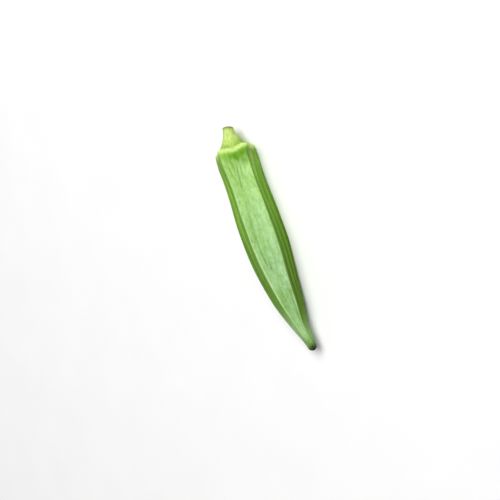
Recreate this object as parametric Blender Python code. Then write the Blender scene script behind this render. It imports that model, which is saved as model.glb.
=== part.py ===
"""An okra pod: a cut stalk, a flared receptacle with its scar ring, a five-ridged capsule and a beak.

The pod grew as one piece, so it is one closed solid. It is lofted along a gently bent spine, turned
to the way it lies, and trimmed a hair where its two lowest ridges touch the surface.

Places on the pod's skin have two coordinates. `place` is the distance along the spine from the
stalk's cut end, in millimetres. `count` counts the ridges round the pod: 0 is on the first ridge,
0.5 is midway to the second, and 5 is the first again. In the grown frame the spine runs towards +X,
and angles round the pod start at +Y and pass +Z at 90 degrees.
"""

import math

import bmesh
import bpy
import numpy as np
from mathutils import Matrix

MM = 0.001

# Places of the scar ring, where the flower's calyx was, and of the tip
RING_AT = 11.0
TIP_AT = 106.0
TIP_ROUND = 1.6  # length of the beak's rounded end

# Radius of the ridges along the pod: (place, millimetres)
RIDGE_RADIUS = (
    (0.0, 2.3),
    (3.0, 2.8),
    (6.0, 4.2),
    (9.0, 6.5),
    (11.5, 9.0),
    (15.0, 9.5),
    (22.0, 9.2),
    (45.0, 10.0),
    (58.0, 9.9),
    (70.0, 8.4),
    (84.0, 6.2),
    (95.0, 3.4),
    (106.0, 1.7),
)

# The spine's lean away from a straight line: (place, degrees)
SPINE_LEAN = (
    (0.0, -8.0),
    (15.0, -4.5),
    (30.0, -3.0),
    (50.0, -3.0),
    (68.0, -1.5),
    (80.0, 2.0),
    (90.0, 2.5),
    (98.0, 10.0),
    (106.0, 0.0),
)
LEAN_SIDE = math.radians(-42.0)  # angle round the pod of the side that the beak leans to

# How five-sided the section is: (place, 0 for round to 1 for five-sided)
FIVE_SIDED = ((0.0, 0.0), (4.0, 0.05), (10.0, 0.85), (14.0, 1.0), (70.0, 1.0), (92.0, 0.6), (106.0, 0.1))

# Each ridge's angle round the pod in degrees at five places along it
RIDGE_PLACES = (11.0, 15.0, 21.0, 84.0, 106.0)
RIDGES = (
    (8.0, 17.0, 18.0, 24.0, 33.0),
    (96.0, 92.0, 90.0, 80.0, 72.0),
    (162.0, 162.0, 162.0, 159.0, 156.0),
    (234.0, 234.0, 234.0, 232.0, 231.0),
    (303.0, 305.0, 306.0, 305.0, 304.0),
)
CRISPNESS = 18.0  # power in the section's rounding: a higher one makes sharper ridges
BEAD_HEIGHT = 0.28  # rib along each ridge
BEAD_HALF_WIDTH = 0.07  # as a share of the way to the next ridge
FACE_HOLLOW = 0.15  # how far the faces dip between the ridges

# The ring's raised lip, and the wave that carries it towards the stalk at each ridge
LIP_HEIGHT = 0.45
LIP_HALF_LENGTH = 0.75
RING_WAVE = 0.5
RING_WAVE_REACH = 4.5

# The cut across the stalk is a little slanted
CUT_SLANT = 0.45
CUT_SLANT_SIDE = math.radians(147.0)  # angle round the pod of the cut's high side
CUT_SLANT_REACH = 2.2

# Attitude at rest
REST_PITCH = math.radians(1.85)
REST_ROLL = math.radians(-0.15)
REST_HEADING = math.radians(180.0)
CONTACT_TRIM = 0.1  # depth of the narrow flats where the lowest ridges touch the surface

# Fineness: (from, to, rings) along the pod, and facets round it, which crowd towards the ridges
STRETCHES = ((0.15, 9.0, 9), (9.0, 13.2, 12), (13.2, 88.0, 27), (88.0, 104.4, 8), (104.4, 105.9, 4))
FACETS_PER_FACE = 10
CROWDING = 0.4

COLOUR = (0.33, 0.56, 0.19, 1.0)
ROUGHNESS = 0.55


def smooth_through(points, at):
    """Values, at the places `at`, of a smooth curve through (place, value) points."""
    places, values = np.array(points).T
    slopes = np.gradient(values, places)
    at = np.clip(at, places[0], places[-1])
    i = np.clip(np.searchsorted(places, at) - 1, 0, len(places) - 2)
    gap = places[i + 1] - places[i]
    rise = values[i + 1] - values[i]
    u = (at - places[i]) / gap
    bend = (1 - u) * (slopes[i] * gap - rise) - u * (slopes[i + 1] * gap - rise)
    return values[i] + u * rise + u * (1 - u) * bend


def spine_at(place):
    """Distance along X, offset to the leaning side and lean angle of the spine at places along it."""
    fine = np.linspace(0.0, TIP_AT, 2001)
    lean = np.radians(smooth_through(SPINE_LEAN, fine))
    middle = (lean[1:] + lean[:-1]) / 2
    along = np.append(0.0, np.cumsum(np.cos(middle))) * fine[1]
    aside = np.append(0.0, np.cumsum(np.sin(middle))) * fine[1]
    return tuple(np.interp(place, fine, values) for values in (along, aside, lean))


def ridge_angles(place):
    """Angles round the pod of its ridges at a place, with the first ridge again at the end."""
    angles = [np.radians(smooth_through(tuple(zip(RIDGE_PLACES, ridge)), place)) for ridge in RIDGES]
    return angles + [angles[0] + math.tau]


def angle_at(place, count):
    """Angle round the pod of a point on its skin."""
    ridges = ridge_angles(place)
    face = np.floor(count).astype(int) % len(RIDGES)
    start = np.choose(face, ridges[:-1])
    end = np.choose(face, ridges[1:])
    return start + (end - start) * (count - np.floor(count))


def five_sided_radius(place, angle):
    """Radius of a five-sided section with rounded corners, over its radius at the ridges."""
    ridges = ridge_angles(place)
    reach = np.zeros_like(angle)
    for start, end in zip(ridges, ridges[1:]):
        facing = np.cos(angle - (start + end) / 2) / np.cos((end - start) / 2)
        reach += np.maximum(facing, 0.0) ** CRISPNESS
    return (reach / 2) ** (-1.0 / CRISPNESS)


def radius_at(place, count):
    """The pod's radius at a point on its skin."""
    five = smooth_through(FIVE_SIDED, place)
    ridge = smooth_through(RIDGE_RADIUS, place)
    radius = ridge * (1.0 + five * (five_sided_radius(place, angle_at(place, count)) - 1.0))
    bead = np.exp(-(((count - np.round(count)) / BEAD_HALF_WIDTH) ** 2))
    hollow = np.sin(math.pi * count) ** 2
    radius += five * np.minimum(ridge / 8.0, 1.0) * (BEAD_HEIGHT * bead - FACE_HOLLOW * hollow)
    radius += LIP_HEIGHT * np.exp(-(((place - RING_AT) / LIP_HALF_LENGTH) ** 2))
    into_tip = np.clip((place - TIP_AT + TIP_ROUND) / TIP_ROUND, 0.0, 1.0)
    return radius * np.sqrt(1.0 - into_tip**2)


def wave_at(place, count):
    """How far along the pod its skin is drawn by the wave in the scar ring and the slant of the cut."""
    wave = -RING_WAVE * np.cos(math.tau * count) * np.exp(-(((place - RING_AT) / RING_WAVE_REACH) ** 2))
    high_side = np.cos(angle_at(place, count) - CUT_SLANT_SIDE)
    return wave - CUT_SLANT * high_side * np.exp(-((place / CUT_SLANT_REACH) ** 2))


def surface(place, count):
    """Points on the pod's skin, in millimetres in the grown frame."""
    radius = radius_at(place, count)
    along, aside, lean = spine_at(place + wave_at(place, count))
    angle = angle_at(place, count) - LEAN_SIDE
    outward = radius * np.cos(angle)
    across = radius * np.sin(angle)
    sideways = aside + outward * np.cos(lean)
    x = along - outward * np.sin(lean)
    y = sideways * math.cos(LEAN_SIDE) - across * math.sin(LEAN_SIDE)
    z = sideways * math.sin(LEAN_SIDE) + across * math.cos(LEAN_SIDE)
    return np.stack((x, y, z), axis=-1)


def stations():
    """Places of the loft's rings along the pod."""
    runs = [np.linspace(start, end, rings, endpoint=False) for start, end, rings in STRETCHES]
    return np.concatenate(([0.0], *runs, [STRETCHES[-1][1]]))


def counts_round():
    """Counts of the loft's edges round the pod, closer together at the ridges."""
    u = np.arange(FACETS_PER_FACE * len(RIDGES)) / FACETS_PER_FACE
    return u - CROWDING * np.sin(math.tau * u) / math.tau


def loft(rows, tip):
    """A closed bmesh through rows of points, with a flat first end and a pole at the other."""
    bm = bmesh.new()
    rings = [[bm.verts.new(point * MM) for point in row] for row in rows]
    pole = bm.verts.new(tip * MM)
    bm.faces.new(rings[0])
    for near, far in zip(rings, rings[1:]):
        for i in range(len(near)):
            bm.faces.new((near[i - 1], near[i], far[i], far[i - 1]))
    for i in range(len(rings[-1])):
        bm.faces.new((rings[-1][i - 1], rings[-1][i], pole))
    bmesh.ops.recalc_face_normals(bm, faces=bm.faces)
    return bm


def lay_down(bm):
    """Turns the pod to its rest, centres it, and sinks it until CONTACT_TRIM of it is below z = 0."""
    tip_down = Matrix.Rotation(REST_PITCH, 4, "Y")
    roll = Matrix.Rotation(REST_ROLL, 4, "X")
    heading = Matrix.Rotation(REST_HEADING, 4, "Z")
    bmesh.ops.transform(bm, matrix=heading @ roll @ tip_down, verts=bm.verts)
    low = [min(vert.co[axis] for vert in bm.verts) for axis in range(3)]
    high = [max(vert.co[axis] for vert in bm.verts) for axis in range(3)]
    shift = (-(low[0] + high[0]) / 2, -(low[1] + high[1]) / 2, -low[2] - CONTACT_TRIM * MM)
    bmesh.ops.translate(bm, vec=shift, verts=bm.verts)


def trim_underside(bm):
    """Cuts off what is below z = 0, and closes the cuts with flat faces."""
    everything = bm.verts[:] + bm.edges[:] + bm.faces[:]
    bmesh.ops.bisect_plane(bm, geom=everything, plane_co=(0, 0, 0), plane_no=(0, 0, -1), clear_outer=True)
    bmesh.ops.holes_fill(bm, edges=[edge for edge in bm.edges if edge.is_boundary])


def skin():
    """The pod's plain green skin."""
    material = bpy.data.materials.new("pod_skin")
    material.use_nodes = True
    shader = material.node_tree.nodes["Principled BSDF"]
    shader.inputs["Base Color"].default_value = COLOUR
    shader.inputs["Roughness"].default_value = ROUGHNESS
    shader.inputs["Metallic"].default_value = 0.0
    return material


def make_pod(collection):
    """The whole pod, as one object."""
    place, count = np.meshgrid(stations(), counts_round(), indexing="ij")
    tip = surface(np.array([TIP_AT]), np.array([0.0]))[0]
    bm = loft(surface(place, count), tip)
    lay_down(bm)
    trim_underside(bm)
    mesh = bpy.data.meshes.new("okra_pod")
    bm.to_mesh(mesh)
    bm.free()
    mesh.shade_smooth()
    mesh.materials.append(skin())
    collection.objects.link(bpy.data.objects.new("okra_pod", mesh))


def main():
    for old in list(bpy.data.objects):
        bpy.data.objects.remove(old)
    collection = bpy.data.collections.new("Okra pod")
    bpy.context.scene.collection.children.link(collection)
    make_pod(collection)


main()
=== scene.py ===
"""Looks of the okra pod: a fine skin over the CAD solid, with its ribs, veins, ring, cut and colours.

The skin repeats the CAD's loft, much finer, and adds relief to it. A point on it has two coordinates:
`place`, the distance along the spine from the stalk's cut end in millimetres, and `count`, which
counts the ridges round the pod, so that 0 is on the first ridge and 0.5 is midway to the second.
"""

import math

import bpy
import numpy as np
from mathutils import Matrix, Quaternion, Vector


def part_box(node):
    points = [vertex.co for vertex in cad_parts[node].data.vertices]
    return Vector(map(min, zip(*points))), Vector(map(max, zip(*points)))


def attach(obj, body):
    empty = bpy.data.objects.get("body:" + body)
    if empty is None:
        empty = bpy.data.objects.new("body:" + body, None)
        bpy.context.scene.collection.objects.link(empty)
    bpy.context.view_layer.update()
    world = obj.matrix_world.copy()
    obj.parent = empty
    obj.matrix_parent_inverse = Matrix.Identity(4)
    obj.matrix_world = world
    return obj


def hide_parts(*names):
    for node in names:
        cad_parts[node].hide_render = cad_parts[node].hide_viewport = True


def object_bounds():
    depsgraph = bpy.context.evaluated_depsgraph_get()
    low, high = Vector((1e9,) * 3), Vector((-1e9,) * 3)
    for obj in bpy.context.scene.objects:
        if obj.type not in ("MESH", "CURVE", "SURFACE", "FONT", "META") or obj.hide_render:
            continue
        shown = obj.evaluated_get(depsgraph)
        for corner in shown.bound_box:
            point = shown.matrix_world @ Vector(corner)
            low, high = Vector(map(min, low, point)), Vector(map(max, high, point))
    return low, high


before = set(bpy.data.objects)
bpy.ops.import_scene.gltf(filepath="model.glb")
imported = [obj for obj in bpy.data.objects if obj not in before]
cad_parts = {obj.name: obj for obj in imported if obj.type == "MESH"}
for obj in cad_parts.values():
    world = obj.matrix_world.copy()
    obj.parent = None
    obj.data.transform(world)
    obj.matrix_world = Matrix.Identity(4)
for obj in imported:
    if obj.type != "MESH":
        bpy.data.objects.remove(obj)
cad_low, cad_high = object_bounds()

MM = 0.001
NODE = "okra_pod"

# ---------------------------------------------------------------- the CAD's loft, in millimetres

RING_AT = 11.0
TIP_AT = 106.0
TIP_ROUND = 1.6
RIDGE_RADIUS = (
    (0.0, 2.3),
    (3.0, 2.8),
    (6.0, 4.2),
    (9.0, 6.5),
    (11.5, 9.0),
    (15.0, 9.5),
    (22.0, 9.2),
    (45.0, 10.0),
    (58.0, 9.9),
    (70.0, 8.4),
    (84.0, 6.2),
    (95.0, 3.4),
    (106.0, 1.7),
)
SPINE_LEAN = (
    (0.0, -8.0),
    (15.0, -4.5),
    (30.0, -3.0),
    (50.0, -3.0),
    (68.0, -1.5),
    (80.0, 2.0),
    (90.0, 2.5),
    (98.0, 10.0),
    (106.0, 0.0),
)
LEAN_SIDE = math.radians(-42.0)
FIVE_SIDED = ((0.0, 0.0), (4.0, 0.05), (10.0, 0.85), (14.0, 1.0), (70.0, 1.0), (92.0, 0.6), (106.0, 0.1))
RIDGE_PLACES = (11.0, 15.0, 21.0, 84.0, 106.0)
RIDGES = (
    (8.0, 17.0, 18.0, 24.0, 33.0),
    (96.0, 92.0, 90.0, 80.0, 72.0),
    (162.0, 162.0, 162.0, 159.0, 156.0),
    (234.0, 234.0, 234.0, 232.0, 231.0),
    (303.0, 305.0, 306.0, 305.0, 304.0),
)
CRISPNESS = 18.0
BEAD_HEIGHT = 0.28
BEAD_HALF_WIDTH = 0.07
FACE_HOLLOW = 0.15
LIP_HEIGHT = 0.45
LIP_HALF_LENGTH = 0.75
RING_WAVE = 0.5
RING_WAVE_REACH = 4.5
CUT_SLANT = 0.45
CUT_SLANT_SIDE = math.radians(147.0)
CUT_SLANT_REACH = 2.2
REST_PITCH = math.radians(1.85)
REST_ROLL = math.radians(-0.15)
REST_HEADING = math.radians(180.0)

# ---------------------------------------------------------------- the fine skin's own sizes

# (from, to, rows) along the pod
STRETCHES = (
    (0.04, 0.5, 6),
    (0.5, 9.6, 44),
    (9.6, 13.2, 46),
    (13.2, 21.0, 20),
    (21.0, 94.0, 102),
    (94.0, 104.0, 22),
    (104.0, 105.95, 16),
)
CUT_ROWS = 9
CUT_DIP = 0.16  # how far the middle of the cut face is sunken
COLUMNS_PER_FACE = 74
CROWDING = 0.45  # of the columns towards the ridges
SEAM_COUNT = 3.5  # middle of the underside
FACE_ANGLE = 1.25  # about a fifth of a turn

CREST_HALF_WIDTH = 0.42  # the thin pale crest of each ridge, its paleness partly a painted highlight
CREST_HEIGHT = 0.1
CRESTS = (0.2, 0.75, 0.6, 0.6, 0.6)  # how strong it is on each ridge
CREST_RISE = ((15.0, 0.2), (30.0, 0.35), (45.0, 0.8), (60.0, 1.0), (100.0, 1.0))  # and along the pod

# Lines that run down the skin: (place and count at the start, bends and end), half width, and
# tone, where a positive one is dark and sunken and a negative one is pale and raised. The dark ones
# right beside the ridges add painted shade to their grooves, and those on the second face paint its shade and
# light
LINES = (
    (((16.5, 0.84), (20.0, 0.85), (27.0, 0.76)), 0.3, 0.6),
    (((17.0, 0.67), (24.5, 0.71)), 0.28, 0.6),
    (((17.5, 0.52), (25.5, 0.61), (31.0, 0.65)), 0.34, 0.85),
    (((18.0, 0.37), (27.0, 0.42)), 0.3, 0.6),
    (((16.5, 0.2), (23.0, 0.24)), 0.28, 0.45),
    (((31.0, 0.67), (46.0, 0.77), (59.0, 0.76), (69.0, 0.74)), 0.5, 0.5),
    (((56.0, 0.77), (66.5, 0.75)), 0.42, 0.8),
    (((36.0, 0.46), (54.0, 0.53)), 0.6, 0.25),
    (((60.0, 0.28), (71.0, 0.44)), 0.5, 0.4),
    (((74.0, 0.62), (84.0, 0.68)), 0.6, 0.45),
    (((77.0, 0.3), (92.0, 0.34)), 0.5, 0.35),
    (((73.0, 0.14), (86.0, 0.17), (102.0, 0.16)), 1.0, 0.65),
    (((75.0, 0.82), (86.0, 0.85)), 1.0, 0.4),
    (((13.5, 4.66), (28.0, 4.65)), 1.3, -1.3),
    (((13.5, 4.96), (22.0, 4.95), (30.0, 4.88), (45.0, 4.84), (80.0, 4.79), (99.0, 4.8)), 0.5, 1.0),
    (((14.0, 4.7), (30.0, 4.67), (50.0, 4.6), (86.0, 4.52)), 0.7, -0.6),
    (((14.0, 4.4), (60.0, 4.37), (88.0, 4.38)), 0.7, 0.6),
    (((15.0, 4.2), (90.0, 4.22)), 0.6, -0.35),
    # These six are painted shade and painted light on the second face: dark down its hollow and along the
    # third ridge, pale where it turns up to the light before that ridge
    (((13.0, 1.4), (25.0, 1.52), (40.0, 1.54), (56.0, 1.47)), 0.65, 0.8),
    (((52.0, 1.46), (62.0, 1.4), (80.0, 1.3)), 0.6, 0.5),
    (((13.0, 1.58), (26.0, 1.74), (45.0, 1.72), (62.0, 1.53), (80.0, 1.42)), 0.7, -0.7),
    (((12.0, 1.68), (22.0, 1.73), (34.0, 1.73)), 0.6, -1.1),
    (((13.0, 1.78), (30.0, 1.88)), 0.4, 0.35),
    (((28.0, 1.94), (50.0, 1.94), (62.0, 1.8), (86.0, 1.62)), 0.9, 0.7),
    (((14.0, 2.06), (50.0, 2.1), (96.0, 2.14)), 0.5, 0.8),
    (((16.0, 2.45), (88.0, 2.5)), 0.9, -0.4),
    (((14.0, 2.92), (96.0, 2.88)), 0.5, 0.8),
    (((14.0, 3.08), (96.0, 3.12)), 0.5, 0.8),
    (((16.0, 3.5), (88.0, 3.52)), 0.9, -0.4),
    (((14.0, 3.93), (96.0, 3.9)), 0.5, 0.8),
    (((14.0, 4.06), (96.0, 4.1)), 0.5, 0.8),
)
LINE_DEPTH = 0.11  # of a line whose tone is 1
VEINS = 85  # short dark lines, strewn over the capsule

# How waxy each face is, how much painted sheen it has, and how far painted shade darkens its green, at places
# along the pod
TINT_PLACES = (12.0, 22.0, 35.0, 50.0, 62.0, 74.0, 86.0, 93.0, 100.0)
FACE_BLOOM_AND_SHEEN = (
    (0.9, 0.92, 1.0, 1.0, 1.0, 1.0, 0.85, 1.0, 1.0),
    (0.06, 0.06, 0.04, 0.04, 0.1, 0.06, 0.35, 0.8, 0.6),
    (0.35, 0.35, 0.35, 0.35, 0.35, 0.35, 0.4, 0.6, 0.6),
    (0.2, 0.2, 0.2, 0.2, 0.2, 0.2, 0.3, 0.5, 0.5),
    (0.1, 0.1, 0.04, 0.03, 0.03, 0.06, 0.12, 0.3, 0.6),
)
# Painted shade: how far each face's green is darkened where it turns from the light
FACE_SHADE = (
    (0.0, 0.0, 0.0, 0.0, 0.0, 0.0, 0.08, 0.0, 0.0),
    (0.0, 0.0, 0.0, 0.05, 0.3, 0.35, 0.2, 0.0, 0.0),
    (0.1, 0.1, 0.2, 0.3, 0.4, 0.5, 0.5, 0.2, 0.0),
    (0.2, 0.2, 0.3, 0.4, 0.5, 0.5, 0.5, 0.2, 0.0),
    (0.1, 0.0, 0.05, 0.38, 0.55, 0.7, 0.75, 0.45, 0.05),
)
# Painted light: how the front face's painted sheen changes across it, strongest towards its first ridge
SHEEN_ACROSS = ((0.0, 1.0), (0.2, 1.15), (0.45, 1.0), (0.75, 0.85), (0.9, 0.85), (1.0, 1.0))
# How pale the second face is next to the second ridge, at places along the pod
BESIDE = (
    (12.0, 0.2),
    (45.0, 0.2),
    (60.0, 0.45),
    (69.0, 0.75),
    (75.0, 0.1),
    (81.0, 0.0),
    (86.0, 0.5),
    (100.0, 0.5),
)
# The dark collar below the ring's lip, a darker green with painted shade under the lip, by count: its
# strength, and the place where it ends
COLLAR_AND_SHADE = ((0.0, 0.8), (0.3, 0.95), (0.6, 0.9), (0.8, 0.4), (1.0, 0.15), (2.0, 0.45), (4.6, 0.5), (5.0, 0.8))
COLLAR_AND_SHADE_END = ((0.0, 18.2), (0.3, 17.6), (0.6, 16.8), (1.0, 17.6), (2.0, 16.0), (4.6, 17.0), (5.0, 18.2))
# How dark the stalk's sides are, by count
STALK_SHADE = (
    (0.0, 0.5),
    (0.3, 0.38),
    (0.5, 0.05),
    (0.8, 0.03),
    (1.2, 0.18),
    (2.0, 0.25),
    (4.0, 0.4),
    (5.0, 0.5),
)
SWELL_HEIGHT = 0.11
STALK_STRIAE = 17
STRIA_HEIGHT = 0.035
VALLEY_DEPTH = 0.22  # between the receptacle and the ring
RIM_WEAR = 0.22  # how far the cut's edge is worn away
# Old scars, and one painted shadow by the ring: (place, count, half length, half width, depth)
SCARS_AND_SHADOW = (
    (52.6, 0.95, 0.8, 0.3, 0.14),
    # A painted shadow with a shallow dent, where the receptacle's side meets the ring
    (9.4, 4.97, 1.5, 0.6, 0.08),
    (66.0, 0.62, 2.4, 0.35, 0.05),
    (38.0, 2.4, 1.6, 0.3, 0.1),
    (71.0, 1.55, 2.2, 0.35, 0.08),
    (29.0, 4.3, 2.8, 0.3, 0.1),
    (60.0, 3.3, 1.2, 0.4, 0.1),
)
LEAST_TIGHTNESS = 0.4  # of a scar's ragged outline, where 1 keeps to the sizes above


def smooth_through(points, at):
    """Values, at the places `at`, of a smooth curve through (place, value) points."""
    places, values = np.array(points).T
    slopes = np.gradient(values, places)
    at = np.clip(at, places[0], places[-1])
    i = np.clip(np.searchsorted(places, at) - 1, 0, len(places) - 2)
    gap = places[i + 1] - places[i]
    rise = values[i + 1] - values[i]
    u = (at - places[i]) / gap
    bend = (1 - u) * (slopes[i] * gap - rise) - u * (slopes[i + 1] * gap - rise)
    return values[i] + u * rise + u * (1 - u) * bend


def spine_at(place):
    """Distance along X, offset to the leaning side and lean angle of the spine at places along it."""
    fine = np.linspace(0.0, TIP_AT, 2001)
    lean = np.radians(smooth_through(SPINE_LEAN, fine))
    middle = (lean[1:] + lean[:-1]) / 2
    along = np.append(0.0, np.cumsum(np.cos(middle))) * fine[1]
    aside = np.append(0.0, np.cumsum(np.sin(middle))) * fine[1]
    return tuple(np.interp(place, fine, values) for values in (along, aside, lean))


def ridge_angles(place):
    """Angles round the pod of its ridges at a place, with the first ridge again at the end."""
    angles = [np.radians(smooth_through(tuple(zip(RIDGE_PLACES, ridge)), place)) for ridge in RIDGES]
    return angles + [angles[0] + math.tau]


def angle_at(place, count):
    """Angle round the pod of a point on its skin."""
    ridges = ridge_angles(place)
    face = np.floor(count).astype(int) % len(RIDGES)
    start = np.choose(face, ridges[:-1])
    end = np.choose(face, ridges[1:])
    return start + (end - start) * (count - np.floor(count))


def five_sided_radius(place, angle):
    """Radius of a five-sided section with rounded corners, over its radius at the ridges."""
    ridges = ridge_angles(place)
    reach = np.zeros_like(angle)
    for start, end in zip(ridges, ridges[1:]):
        facing = np.cos(angle - (start + end) / 2) / np.cos((end - start) / 2)
        reach += np.maximum(facing, 0.0) ** CRISPNESS
    return (reach / 2) ** (-1.0 / CRISPNESS)


def tip_taper(place):
    """What the beak's rounded end leaves of a radius: 1 before it and 0 at the tip."""
    into_tip = np.clip((place - TIP_AT + TIP_ROUND) / TIP_ROUND, 0.0, 1.0)
    return np.sqrt(1.0 - into_tip**2)


def radius_at(place, count):
    """The CAD's radius at a point on the skin."""
    five = smooth_through(FIVE_SIDED, place)
    ridge = smooth_through(RIDGE_RADIUS, place)
    radius = ridge * (1.0 + five * (five_sided_radius(place, angle_at(place, count)) - 1.0))
    bead = np.exp(-(((count - np.round(count)) / BEAD_HALF_WIDTH) ** 2))
    hollow = np.sin(math.pi * count) ** 2
    radius += five * np.minimum(ridge / 8.0, 1.0) * (BEAD_HEIGHT * bead - FACE_HOLLOW * hollow)
    radius += LIP_HEIGHT * np.exp(-(((place - RING_AT) / LIP_HALF_LENGTH) ** 2))
    return radius * tip_taper(place)


def wave_at(place, count):
    """How far along the pod its skin is drawn by the wave in the scar ring and the slant of the cut."""
    wave = -RING_WAVE * np.cos(math.tau * count) * np.exp(-(((place - RING_AT) / RING_WAVE_REACH) ** 2))
    high_side = np.cos(angle_at(place, count) - CUT_SLANT_SIDE)
    return wave - CUT_SLANT * high_side * np.exp(-((place / CUT_SLANT_REACH) ** 2))


def surface(place, count, radius):
    """Points at a radius from the spine, in millimetres in the grown frame."""
    along, aside, lean = spine_at(place + wave_at(place, count))
    angle = angle_at(place, count) - LEAN_SIDE
    outward = radius * np.cos(angle)
    across = radius * np.sin(angle)
    sideways = aside + outward * np.cos(lean)
    x = along - outward * np.sin(lean)
    y = sideways * math.cos(LEAN_SIDE) - across * math.sin(LEAN_SIDE)
    z = sideways * math.sin(LEAN_SIDE) + across * math.cos(LEAN_SIDE)
    return np.stack((x, y, z), axis=-1)


# ---------------------------------------------------------------- relief


def step(start, end, value):
    """A smooth step from 0 at start to 1 at end."""
    t = np.clip((value - start) / (end - start), 0.0, 1.0)
    return t * t * (3 - 2 * t)


def waves(points, size, seed, number=30):
    """Smooth noise of about -1 to 1, from plane waves about `size` millimetres long."""
    random = np.random.default_rng(seed)
    total = np.zeros(points.shape[:-1])
    for _ in range(number):
        direction = random.normal(size=3)
        direction *= math.tau / (size * random.uniform(0.7, 1.5) * np.linalg.norm(direction))
        total += np.cos(points @ direction + random.uniform(0.0, math.tau))
    return total * 0.6 / math.sqrt(number / 2)


class Skin:
    """The skin's grid of points, with the relief and the masks that its colours follow."""

    def __init__(self, place, count):
        self.place, self.count = place, count
        self.ridge = smooth_through(RIDGE_RADIUS, place)
        self.angle = angle_at(place, count)
        self.straight = np.stack(
            (self.ridge * np.cos(self.angle), self.ridge * np.sin(self.angle), place), axis=-1
        )
        self.size = np.clip(self.ridge / 9.0, 0.2, 1.0)
        self.capsule = step(RING_AT + 0.5, RING_AT + 3.0, place)
        self.body = self.capsule * (1.0 - step(96.0, 103.0, place))
        self.off = self.from_ridge()
        self.make_ridges()
        self.make_lines()
        self.make_scars_and_shadow()
        self.make_tints()

    def stretched(self, factor):
        """The unbent pod's coordinates with its length shrunk, for grain that runs along it."""
        return self.straight * np.array((1.0, 1.0, factor))

    def from_ridge(self):
        """Signed distance round the pod from the nearest ridge, as if the pod were at its thickest."""
        away = self.angle - angle_at(self.place, np.round(self.count))
        away = (away + math.pi) % math.tau - math.pi
        off = away * self.ridge + 0.16 * self.size * waves(self.stretched(0.35), 9.0, 11)
        return off / self.size

    def across_from(self, count):
        """Signed distance round the pod from a count, in millimetres, as on faces of equal width."""
        half = len(RIDGES) / 2
        return ((self.count - count + half) % (2 * half) - half) * FACE_ANGLE * self.ridge

    def make_ridges(self):
        """A thin raised crest on each ridge, which also carries a painted highlight."""
        lively = 1.0 + 0.25 * waves(self.stretched(0.3), 4.0, 12)
        nearest = np.round(self.count).astype(int) % len(RIDGES)
        strength = np.array(CRESTS)[nearest] * smooth_through(CREST_RISE, self.place) * self.body
        self.crest = np.exp(-((self.off / CREST_HALF_WIDTH) ** 2)) * strength
        self.crest_relief = CREST_HEIGHT * self.crest * lively * self.size

    def make_lines(self):
        """The long lines beside the ridges and down the faces, some of them painted shade and painted light,
        and the strewn short veins.
        """
        random = np.random.default_rng(41)
        veins = []
        for _ in range(VEINS):
            place, length = random.uniform(15.0, 88.0), random.uniform(4.0, 13.0)
            count = random.integers(0, 5) + random.uniform(0.1, 0.9)
            tone = random.uniform(0.15, 0.6) * (0.5 if count < 1.0 else 1.0)
            path = ((place, count), (place + length, count + 0.011 * length))
            veins.append((path, random.uniform(0.18, 0.36), tone))
        wander = 0.18 * waves(self.stretched(0.25), 6.0, 30)
        self.dark = np.zeros_like(self.place)
        self.light = np.zeros_like(self.place)
        self.line_relief = np.zeros_like(self.place)
        for path, half_width, tone in LINES + tuple(veins):
            start, end = path[0][0], path[-1][0]
            middle = smooth_through(path, self.place)
            across = self.across_from(middle) + wander * self.size
            way = (self.place - start) / (end - start)
            ends = np.clip(1.0 - (2.0 * way - 1.0) ** 4, 0.0, 1.0)
            line = np.exp(-((across / half_width / self.size) ** 2)) * ends * self.body
            self.dark = np.maximum(self.dark, line * tone)
            self.light = np.maximum(self.light, -line * tone)
            self.line_relief -= LINE_DEPTH * tone * line * self.size

    def make_scars_and_shadow(self):
        """A few old scars, long and thin, where something rubbed the pod, and one painted shadow by the ring.
        """
        tightness = np.maximum(1.2 + 0.5 * waves(self.straight, 1.2, 70), LEAST_TIGHTNESS)
        self.scar_and_shadow = np.zeros_like(self.place)
        self.scar_and_shadow_relief = np.zeros_like(self.place)
        for place, count, half_length, half_width, depth in SCARS_AND_SHADOW:
            along = (self.place - place) / half_length
            across = self.across_from(count) / half_width
            shape = np.exp(-(along**2 + across**2) * tightness)
            self.scar_and_shadow = np.maximum(self.scar_and_shadow, shape)
            self.scar_and_shadow_relief -= depth * shape

    def make_tints(self):
        """Where the skin is waxy with painted sheen, where painted shade darkens its green, the collar below
        the ring with painted shade in it, and painted shade on the stalk.
        """
        count = self.count % len(RIDGES)
        face = np.floor(count).astype(int)
        across = np.where(face == 0, smooth_through(SHEEN_ACROSS, count % 1.0), 1.0)
        bloom_and_sheen = [smooth_through(tuple(zip(TINT_PLACES, row)), self.place) for row in FACE_BLOOM_AND_SHEEN]
        face_shade = [smooth_through(tuple(zip(TINT_PLACES, row)), self.place) for row in FACE_SHADE]
        beside = np.where(face == 1, 1.0 - step(0.05, 0.3, count % 1.0), 0.0)
        beside *= smooth_through(BESIDE, self.place)
        self.bloom_and_sheen = np.maximum(np.choose(face, bloom_and_sheen) * across, beside) * self.body
        self.face_shade = np.choose(face, face_shade) * self.body
        ragged = self.place + 1.1 * waves(self.stretched(0.3), 1.8, 31) + 0.6 * waves(self.straight, 5.0, 32)
        self.collar_and_shade = smooth_through(COLLAR_AND_SHADE, count) * step(RING_AT + 0.5, RING_AT + 2.9, self.place)
        self.collar_and_shade *= 1.0 - step(-2.2, 2.2, ragged - smooth_through(COLLAR_AND_SHADE_END, count))
        self.collar_and_shade *= 1.0 + 0.2 * waves(self.stretched(0.5), 2.6, 33)
        on_stalk = 1.0 - step(RING_AT - 1.4, RING_AT - 0.4, self.place)
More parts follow.
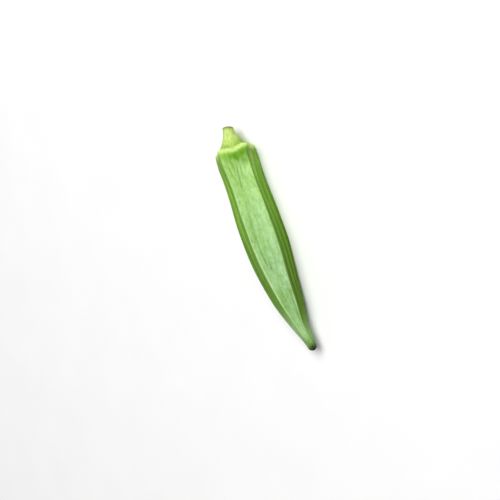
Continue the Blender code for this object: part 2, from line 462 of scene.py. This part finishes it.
        # Painted shade on the receptacle's left side, added to the stalk's painted shade
        receptacle_shade = 0.45 * step(8.3, 9.6, self.place) * step(0.5, 0.75, count) * (1.0 - step(1.3, 1.8, count))
        self.dark = np.maximum(self.dark, (smooth_through(STALK_SHADE, count) + receptacle_shade) * on_stalk)
        side = step(4.3, 4.5, count) * (1.0 - step(4.88, 4.97, count))
        self.brown = side * step(10.5, 12.0, self.place) * (1.0 - step(14.0, 20.0, self.place))

    def swells(self):
        """Gentle unevenness, and the seeds' faint bumps down the middle of each face."""
        broad = SWELL_HEIGHT * waves(self.stretched(0.55), 9.0, 21)
        middle = np.sin(math.pi * self.count) ** 2
        bumpy = 0.045 + 0.05 * step(70.0, 78.0, self.place) * (1.0 - step(90.0, 96.0, self.place))
        seeds = bumpy * waves(self.stretched(0.9), 3.6, 22) * middle
        pebbles = 0.012 * waves(self.stretched(0.7), 0.9, 23)
        return (broad + seeds) * self.size * self.body + pebbles * self.capsule * self.size

    def stalk(self):
        """Striae along the stalk and receptacle, the valley above the ring and the worn rim of the cut."""
        striae = np.cos(STALK_STRIAE * self.angle + 2.0 * waves(self.stretched(0.2), 4.0, 24))
        on_stalk = 1.0 - step(RING_AT - 1.2, RING_AT, self.place)
        uneven = 0.05 * waves(self.stretched(0.5), 3.6, 25)
        valley = VALLEY_DEPTH * np.exp(-(((self.place - RING_AT + 1.7) / 0.6) ** 2))
        rim = RIM_WEAR * np.exp(-self.place / 0.16)
        return (STRIA_HEIGHT * striae + uneven) * on_stalk - valley - rim

    def lip(self):
        """Unevenness along the ring's lip."""
        near = np.exp(-(((self.place - RING_AT) / 0.8) ** 2))
        return 0.07 * near * waves(self.straight, 2.4, 26)

    def points(self):
        """The skin's points, in millimetres in the grown frame."""
        relief = self.crest_relief + self.line_relief + self.scar_and_shadow_relief
        relief = relief + self.swells() + self.stalk() + self.lip()
        radius = radius_at(self.place, self.count) + relief * tip_taper(self.place)
        return surface(self.place, self.count, radius)


# ---------------------------------------------------------------- mesh


def rows_along():
    """Places of the skin's rows along the pod."""
    runs = [np.linspace(start, end, rows, endpoint=False) for start, end, rows in STRETCHES]
    return np.concatenate(([0.0], *runs, [STRETCHES[-1][1]]))


def columns_round():
    """Counts of the skin's columns round the pod from the seam, closer together at the ridges."""
    u = SEAM_COUNT + np.arange(COLUMNS_PER_FACE * len(RIDGES)) / COLUMNS_PER_FACE
    return u - CROWDING * np.sin(math.tau * u) / math.tau


def cut_rows(rim):
    """Rows of points on the cut face, from near its middle out to its rim."""
    middle = rim.mean(axis=0)
    inward = np.array((1.0, 0.0, 0.0))
    rows = []
    for i in range(CUT_ROWS):
        share = (i + 1) / (CUT_ROWS + 1)
        row = middle + (rim - middle) * share
        dip = CUT_DIP * (1.0 - share**3) + 0.05 * waves(row, 0.8, 81)
        rows.append(row + dip[:, None] * inward)
    return middle + CUT_DIP * inward, np.array(rows)


def at_rest(points):
    """Points of the grown frame, in metres where the CAD's pod lies."""
    tip_down = Matrix.Rotation(REST_PITCH, 3, "Y")
    turn = Matrix.Rotation(REST_HEADING, 3, "Z") @ Matrix.Rotation(REST_ROLL, 3, "X") @ tip_down
    place, count = np.meshgrid(rows_along(), columns_round(), indexing="ij")
    plain = surface(place, count, radius_at(place, count)).reshape(-1, 3) @ np.array(turn).T * MM
    low, high = plain.min(axis=0), plain.max(axis=0)
    cad = [np.array(corner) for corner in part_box(NODE)]
    shift = (cad[0] + cad[1] - low - high) / 2
    shift[2] = cad[1][2] - high[2]
    placed = points @ np.array(turn).T * MM + shift
    placed[..., 2] = np.maximum(placed[..., 2], cad[0][2])
    return placed


def grid_faces(rows, columns):
    """Corners of a closed tube's four-sided faces, with each face's row."""
    row, column = np.meshgrid(np.arange(rows - 1), np.arange(columns), indexing="ij")
    row, column = row.ravel(), column.ravel()
    after = (column + 1) % columns
    near, far = row * columns, (row + 1) * columns
    return np.stack((near + column, near + after, far + after, far + column), 1), row


def pod_mesh():
    """The skin's mesh, with its masks as attributes and its map laid out along and round the pod."""
    place, count = np.meshgrid(rows_along(), columns_round(), indexing="ij")
    skin = Skin(place, count)
    points = skin.points()
    centre, cut = cut_rows(points[0])
    grid = np.concatenate((cut, points))
    rows, columns = grid.shape[:2]
    tip = surface(np.array([TIP_AT]), np.array([0.0]), np.array([0.0]))[0]
    every = np.concatenate((grid.reshape(-1, 3), [centre, tip]))
    quads, quad_row = grid_faces(rows, columns)
    centre_index, tip_index = rows * columns, rows * columns + 1
    ring = np.arange(columns)
    after = (ring + 1) % columns
    last = (rows - 1) * columns
    starts = np.stack((np.full(columns, centre_index), after, ring), 1)
    ends = np.stack((last + ring, last + after, np.full(columns, tip_index)), 1)
    mesh = bpy.data.meshes.new("pod_skin")
    mesh.from_pydata(at_rest(every), [], starts.tolist() + quads.tolist() + ends.tolist())
    mesh.shade_smooth()

    on_cut = np.concatenate((np.ones(columns), quad_row < CUT_ROWS, np.zeros(columns))).astype(np.int32)
    mesh.polygons.foreach_set("material_index", on_cut)
    add_map(mesh, grid, columns)
    add_masks(mesh, skin, cut, centre, tip)
    return mesh


def add_map(mesh, grid, columns):
    """A map with the length of the skin across it and its girth up it."""
    steps = np.linalg.norm(np.diff(grid, axis=0), axis=-1).mean(axis=1)
    lengths = np.concatenate(([0.0], np.cumsum(steps))) + steps[0]
    lengths /= lengths[-1] + steps[-1]
    lengths = np.append(np.repeat(lengths, columns), (0.0, 1.0))
    round_it = (columns_round() - SEAM_COUNT) / len(RIDGES)
    corners = np.zeros(len(mesh.loops), dtype=np.int32)
    mesh.loops.foreach_get("vertex_index", corners)
    up = np.append(np.tile(round_it, len(grid)), (0.0, 0.0))[corners]
    starts = np.zeros(len(mesh.polygons), dtype=np.int32)
    sizes = np.zeros(len(mesh.polygons), dtype=np.int32)
    mesh.polygons.foreach_get("loop_start", starts)
    mesh.polygons.foreach_get("loop_total", sizes)
    face = np.repeat(np.arange(len(sizes)), sizes)
    pole = corners >= len(grid) * columns
    highest = np.maximum.reduceat(up, starts)[face]
    up = np.where((up < 0.25) & (highest > 0.75) & ~pole, up + 1.0, up)
    ring_up = np.where(pole, 0.0, up)
    ring_corners = np.maximum(sizes - np.add.reduceat(pole * 1, starts), 1)
    middle = np.add.reduceat(ring_up, starts) / ring_corners
    up = np.where(pole, middle[face], up)
    layer = mesh.uv_layers.new(name="OFBake")
    layer.data.foreach_set("uv", np.stack((lengths[corners], up), 1).ravel())


def add_masks(mesh, skin, cut, centre, tip):
    """The masks that the materials' nodes read, one value for each point."""
    around = cut.shape[1]
    shares = np.repeat((np.arange(CUT_ROWS) + 1) / (CUT_ROWS + 1), around)
    masks = {
        "place": (np.zeros(len(shares)), skin.place, (0.0, TIP_AT)),
        "crest": (np.zeros(len(shares)), skin.crest, (0.0, 0.0)),
        "dark": (np.zeros(len(shares)), skin.dark, (0.0, 0.0)),
        "light": (np.zeros(len(shares)), skin.light, (0.0, 0.0)),
        "scar_and_shadow": (np.zeros(len(shares)), skin.scar_and_shadow, (0.0, 0.0)),
        "bloom_and_sheen": (np.zeros(len(shares)), skin.bloom_and_sheen, (0.0, 0.0)),
        "face_shade": (np.zeros(len(shares)), skin.face_shade, (0.0, 0.0)),
        "collar_and_shade": (np.zeros(len(shares)), skin.collar_and_shade, (0.0, 0.0)),
        "brown": (np.zeros(len(shares)), skin.brown, (0.0, 0.0)),
        "cut": (shares, np.ones_like(skin.place), (0.0, 1.0)),
    }
    for name, (on_cut, on_skin, ends) in masks.items():
        values = np.concatenate((on_cut, on_skin.ravel(), ends)).astype(np.float32)
        mesh.attributes.new(name, "FLOAT", "POINT").data.foreach_set("value", values)
    straight = np.concatenate((cut.reshape(-1, 3)[:, [1, 2, 0]], skin.straight.reshape(-1, 3), [centre, tip]))
    straight[-1] = (0.0, 0.0, TIP_AT)
    layer = mesh.attributes.new("straight", "FLOAT_VECTOR", "POINT")
    layer.data.foreach_set("vector", straight.astype(np.float32).ravel())


# ---------------------------------------------------------------- materials


def srgb(red, green, blue):
    """A colour in Blender's linear values from its everyday 0 to 255 ones."""
    shares = [c / 255 for c in (red, green, blue)]
    linear = [c / 12.92 if c <= 0.04045 else ((c + 0.055) / 1.055) ** 2.4 for c in shares]
    return (*linear, 1.0)


class Nodes:
    """Short ways to add nodes to one material. Each method gives back an output socket."""

    def __init__(self, name):
        self.material = bpy.data.materials.new(name)
        self.material.use_nodes = True
        self.tree = self.material.node_tree
        self.shader = self.tree.nodes["Principled BSDF"]

    def put(self, socket, value):
        """Links a socket to a value that is another socket, or sets it."""
        if isinstance(value, bpy.types.NodeSocket):
            self.tree.links.new(value, socket)
        else:
            socket.default_value = value

    def attribute(self, name, output="Fac"):
        node = self.tree.nodes.new("ShaderNodeAttribute")
        node.attribute_name = name
        return node.outputs[output]

    def math(self, operation, first, second=0.0, clamp=False):
        node = self.tree.nodes.new("ShaderNodeMath")
        node.operation = operation
        node.use_clamp = clamp
        self.put(node.inputs[0], first)
        self.put(node.inputs[1], second)
        return node.outputs[0]

    def stretch(self, vector, factors):
        node = self.tree.nodes.new("ShaderNodeVectorMath")
        node.operation = "MULTIPLY"
        self.put(node.inputs[0], vector)
        self.put(node.inputs[1], factors)
        return node.outputs[0]

    def noise(self, vector, scale, detail=3.0, roughness=0.5):
        node = self.tree.nodes.new("ShaderNodeTexNoise")
        self.put(node.inputs["Vector"], vector)
        node.inputs["Scale"].default_value = scale
        node.inputs["Detail"].default_value = detail
        node.inputs["Roughness"].default_value = roughness
        return node.outputs["Fac"]

    def fit(self, value, low, high, to_low=0.0, to_high=1.0):
        """value moved from low..high to to_low..to_high, and held there."""
        node = self.tree.nodes.new("ShaderNodeMapRange")
        for socket, number in zip(node.inputs, (value, low, high, to_low, to_high)):
            self.put(socket, number)
        return node.outputs[0]

    def ramp(self, value, stops):
        """A colour for a value, from (value, colour) stops."""
        node = self.tree.nodes.new("ShaderNodeValToRGB")
        elements = node.color_ramp.elements
        while len(elements) < len(stops):
            elements.new(1.0)
        for element, (at, colour) in zip(elements, stops):
            element.position = at
            element.color = colour
        self.put(node.inputs[0], value)
        return node.outputs["Color"]

    def mix(self, share, first, second, blend="MIX"):
        node = self.tree.nodes.new("ShaderNodeMix")
        node.data_type = "RGBA"
        node.blend_type = blend
        self.put(node.inputs["Factor"], share)
        self.put(node.inputs["A"], first)
        self.put(node.inputs["B"], second)
        return node.outputs["Result"]

    def bump(self, height, distance, normal=None):
        node = self.tree.nodes.new("ShaderNodeBump")
        node.inputs["Distance"].default_value = distance
        self.put(node.inputs["Height"], height)
        if normal is not None:
            self.put(node.inputs["Normal"], normal)
        return node.outputs["Normal"]

    def finish(self, colour, roughness, normal, **constants):
        """Wires up the shader. A constant is named after its socket, with _ for a space."""
        self.put(self.shader.inputs["Base Color"], colour)
        self.put(self.shader.inputs["Roughness"], roughness)
        self.put(self.shader.inputs["Normal"], normal)
        for name, value in constants.items():
            self.shader.inputs[name.replace("_", " ")].default_value = value
        return self.material


def skin_colour(nodes, straight):
    """Greens of the skin: zones along the pod, streaks, wax with painted sheen, the collar and the faces'
    painted shade, then lines, the crests' painted highlight, and scars with one painted shadow.
    """
    ragged = nodes.noise(nodes.stretch(straight, (1.0, 1.0, 0.25)), 0.55, 4.0)
    below_lip = nodes.fit(nodes.attribute("place"), RING_AT + 0.8, RING_AT + 3.0)
    shift = nodes.math("MULTIPLY", nodes.fit(ragged, 0.2, 0.8, -1.4, 1.4), below_lip)
    place = nodes.math("ADD", nodes.attribute("place"), shift)
    colour = nodes.ramp(
        nodes.math("DIVIDE", place, TIP_AT),
        (
            (0.0, srgb(98, 84, 48)),
            (0.005, srgb(150, 156, 80)),
            (0.014, srgb(206, 224, 136)),
            (0.05, srgb(206, 228, 134)),
            (0.07, srgb(188, 214, 116)),
            (0.09, srgb(172, 200, 98)),
            (0.098, srgb(208, 234, 140)),
            (0.108, srgb(206, 234, 138)),
            (0.12, srgb(150, 196, 86)),
            (0.14, srgb(134, 182, 66)),
            (0.2, srgb(124, 176, 50)),
            (0.5, srgb(118, 170, 46)),
            (0.8, srgb(118, 168, 52)),
            (0.86, srgb(122, 170, 64)),
            (0.9, srgb(134, 176, 84)),
            (0.945, srgb(134, 172, 92)),
            (0.965, srgb(128, 164, 94)),
            (0.976, srgb(102, 128, 82)),
            (0.983, srgb(58, 68, 50)),
            (1.0, srgb(38, 42, 34)),
        ),
    )
    on_body = nodes.fit(place, RING_AT + 2.0, RING_AT + 6.0)
    streaks = nodes.noise(nodes.stretch(straight, (1.0, 1.0, 0.08)), 1.1, 5.0, 0.6)
    colour = nodes.mix(nodes.fit(streaks, 0.42, 0.62, 0.0, 0.35), colour, srgb(94, 148, 42))
    mottle = nodes.noise(nodes.stretch(straight, (1.0, 1.0, 0.4)), 0.45, 5.0, 0.65)
    # Wax, with painted sheen where the front face takes the light
    bloom_and_sheen = nodes.math("MULTIPLY", nodes.fit(mottle, 0.36, 0.64, 0.4, 0.74), nodes.attribute("bloom_and_sheen"))
    way_down = nodes.fit(nodes.attribute("place"), 22.0, 66.0)
    wax_and_sheen = nodes.mix(way_down, srgb(192, 230, 158), srgb(180, 216, 172))
    colour = nodes.mix(nodes.math("MULTIPLY", bloom_and_sheen, on_body), colour, wax_and_sheen)
    patches = nodes.noise(nodes.stretch(straight, (1.0, 1.0, 0.5)), 0.22, 3.0)
    yellower = nodes.math("MULTIPLY", nodes.fit(patches, 0.5, 0.72, 0.0, 0.35), nodes.fit(place, 55.0, 40.0))
    yellower = nodes.math("MULTIPLY", yellower, on_body)
    colour = nodes.mix(yellower, colour, srgb(178, 206, 96))
    # The collar below the lip: a darker green, partly painted shade under the lip
    colour = nodes.mix(nodes.attribute("collar_and_shade"), colour, srgb(100, 151, 34))
    # Painted shade: the faces turned from the light darkened towards a darker, fuller green
    colour = nodes.mix(nodes.attribute("face_shade"), colour, srgb(80, 114, 8))
    fine = nodes.noise(nodes.stretch(straight, (1.0, 1.0, 0.45)), 1.3, 4.0, 0.7)
    below_ring = nodes.fit(place, 11.5, 14.0, 0.25, 1.0)
    speckle = nodes.math("MULTIPLY", nodes.fit(fine, 0.44, 0.68, 0.0, 0.46), below_ring)
    colour = nodes.mix(speckle, colour, srgb(172, 190, 140), "MULTIPLY")
    fibres = nodes.noise(nodes.stretch(straight, (1.0, 1.0, 0.12)), 1.6, 3.0)
    brown = nodes.math("MULTIPLY", nodes.fit(fibres, 0.4, 0.62, 0.1, 0.55), nodes.attribute("brown"))
    colour = nodes.mix(brown, colour, srgb(162, 158, 104))
    # Pale lines, some of them painted light on the second face
    light = nodes.math("MULTIPLY", nodes.attribute("light"), 0.5)
    colour = nodes.mix(light, colour, srgb(160, 200, 100))
    # Painted highlight along the ridge crests
    crest = nodes.math("MULTIPLY", nodes.attribute("crest"), 0.7)
    colour = nodes.mix(crest, colour, srgb(194, 226, 150))
    # Dark lines, some of them painted shade, with the painted shade on the stalk and receptacle
    dark = nodes.math("MULTIPLY", nodes.attribute("dark"), 0.85, True)
    colour = nodes.mix(dark, colour, srgb(172, 186, 120), "MULTIPLY")
    # Scars, and the painted shadow where the receptacle meets the ring
    return nodes.mix(nodes.math("MULTIPLY", nodes.attribute("scar_and_shadow"), 0.6), colour, srgb(72, 88, 56))


def skin_material():
    """The skin: its colours, a slightly uneven gloss, and its fuzz and fine lines as bump."""
    nodes = Nodes("pod_skin_fine")
    straight = nodes.attribute("straight", "Vector")
    colour = skin_colour(nodes, straight)
    grain = nodes.noise(nodes.stretch(straight, (1.0, 1.0, 0.35)), 2.2, 4.0)
    roughness = nodes.fit(grain, 0.3, 0.7, 0.5, 0.64)
    fuzz = nodes.noise(straight, 3.4, 3.0)
    lines = nodes.noise(nodes.stretch(straight, (1.0, 1.0, 0.06)), 3.0, 2.0)
    normal = nodes.bump(fuzz, 0.00005)
    normal = nodes.bump(lines, 0.00006, normal)
    return nodes.finish(colour, roughness, normal, IOR=1.45, Specular_IOR_Level=0.05)


def cut_material():
    """The cut end's pale flesh, with a darker ring and a browned rim."""
    nodes = Nodes("pod_cut")
    straight = nodes.attribute("straight", "Vector")
    flesh = nodes.ramp(
        nodes.attribute("cut"),
        (
            (0.0, srgb(214, 226, 160)),
            (0.3, srgb(202, 220, 138)),
            (0.55, srgb(176, 200, 100)),
            (0.72, srgb(196, 214, 122)),
            (0.9, srgb(150, 160, 76)),
            (1.0, srgb(112, 104, 50)),
        ),
    )
    fibres = nodes.noise(straight, 3.2, 4.0)
    colour = nodes.mix(nodes.fit(fibres, 0.4, 0.7, 0.0, 0.45), flesh, srgb(132, 142, 66))
    normal = nodes.bump(fibres, 0.00012)
    return nodes.finish(colour, nodes.fit(fibres, 0.3, 0.7, 0.5, 0.7), normal, IOR=1.4)


# ---------------------------------------------------------------- the piece


def make_pod():
    """The fine pod, which stands for the CAD's solid."""
    pod = bpy.data.objects.new("pod", pod_mesh())
    bpy.context.scene.collection.objects.link(pod)
    pod.data.materials.append(skin_material())
    pod.data.materials.append(cut_material())
    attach(pod, "root")
    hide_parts(NODE)


# ---------------------------------------------------------------- camera, floor and light

VIEW_AZIMUTH = math.radians(-11.2)
VIEW_ELEVATION = math.radians(48.0)
VIEW_ROLL = math.radians(-102.7)
VIEW_DISTANCE = 0.56
VIEW_LENS = 92.0
AIM_RIGHT = -0.0062
AIM_UP = -0.0047
KEY_DIRECTION = (-0.55, 0.3, 1.0)  # right, up and towards the camera, in its view
KEY_DISTANCE = 1.5
KEY_SIZE = 1.2
KEY_POWER = 28.0
AMBIENT = 0.22
FLOOR_SIZE = 6.0


def view_turn():
    """The camera's rotation."""
    level = math.cos(VIEW_ELEVATION)
    back = Vector((math.sin(VIEW_AZIMUTH) * level, -math.cos(VIEW_AZIMUTH) * level, math.sin(VIEW_ELEVATION)))
    return back.to_track_quat("Z", "Y") @ Quaternion((0.0, 0.0, 1.0), VIEW_ROLL)


def make_camera():
    """The camera, which looks down on the face between the first two ridges."""
    camera = bpy.data.objects.new("camera", bpy.data.cameras.new("camera"))
    bpy.context.scene.collection.objects.link(camera)
    camera.data.lens = VIEW_LENS
    turn = view_turn()
    aim = (cad_low + cad_high) / 2 + turn @ Vector((AIM_RIGHT, AIM_UP, 0.0))
    camera.rotation_mode = "QUATERNION"
    camera.rotation_quaternion = turn
    camera.location = aim + turn @ Vector((0.0, 0.0, VIEW_DISTANCE))
    camera.data.clip_start = 0.01
    bpy.context.scene.camera = camera


def area_light(name, direction, distance, size, power):
    """A square soft light that faces the pod from a direction."""
    data = bpy.data.lights.new(name, "AREA")
    data.size = size
    data.energy = power
    light = bpy.data.objects.new(name, data)
    bpy.context.scene.collection.objects.link(light)
    direction = direction.normalized()
    light.location = (cad_low + cad_high) / 2 + direction * distance
    light.rotation_mode = "QUATERNION"
    light.rotation_quaternion = direction.to_track_quat("Z", "Y")


def make_lights():
    """One soft key light, and an even white surround."""
    turn = view_turn()
    area_light("key", turn @ Vector(KEY_DIRECTION), KEY_DISTANCE, KEY_SIZE, KEY_POWER)
    world = bpy.data.worlds.new("studio")
    world.use_nodes = True
    background = world.node_tree.nodes["Background"]
    background.inputs["Color"].default_value = (1.0, 1.0, 1.0, 1.0)
    background.inputs["Strength"].default_value = AMBIENT
    bpy.context.scene.world = world


def make_floor():
    """The pale surface that the pod lies on."""
    bpy.ops.mesh.primitive_plane_add(size=FLOOR_SIZE, location=(0.0, 0.0, cad_low.z))
    floor = bpy.context.object
    floor.name = "floor"
    nodes = Nodes("floor_paper")
    coordinates = nodes.tree.nodes.new("ShaderNodeTexCoord")
    shade = nodes.noise(coordinates.outputs["Object"], 40.0)
    colour = nodes.mix(nodes.fit(shade, 0.3, 0.7), (0.89, 0.89, 0.89, 1.0), (0.91, 0.91, 0.91, 1.0))
    floor.data.materials.append(nodes.finish(colour, 0.8, nodes.bump(shade, 0.00001)))


make_pod()
make_camera()
make_lights()
make_floor()
bpy.context.scene.view_settings.view_transform = "Standard"
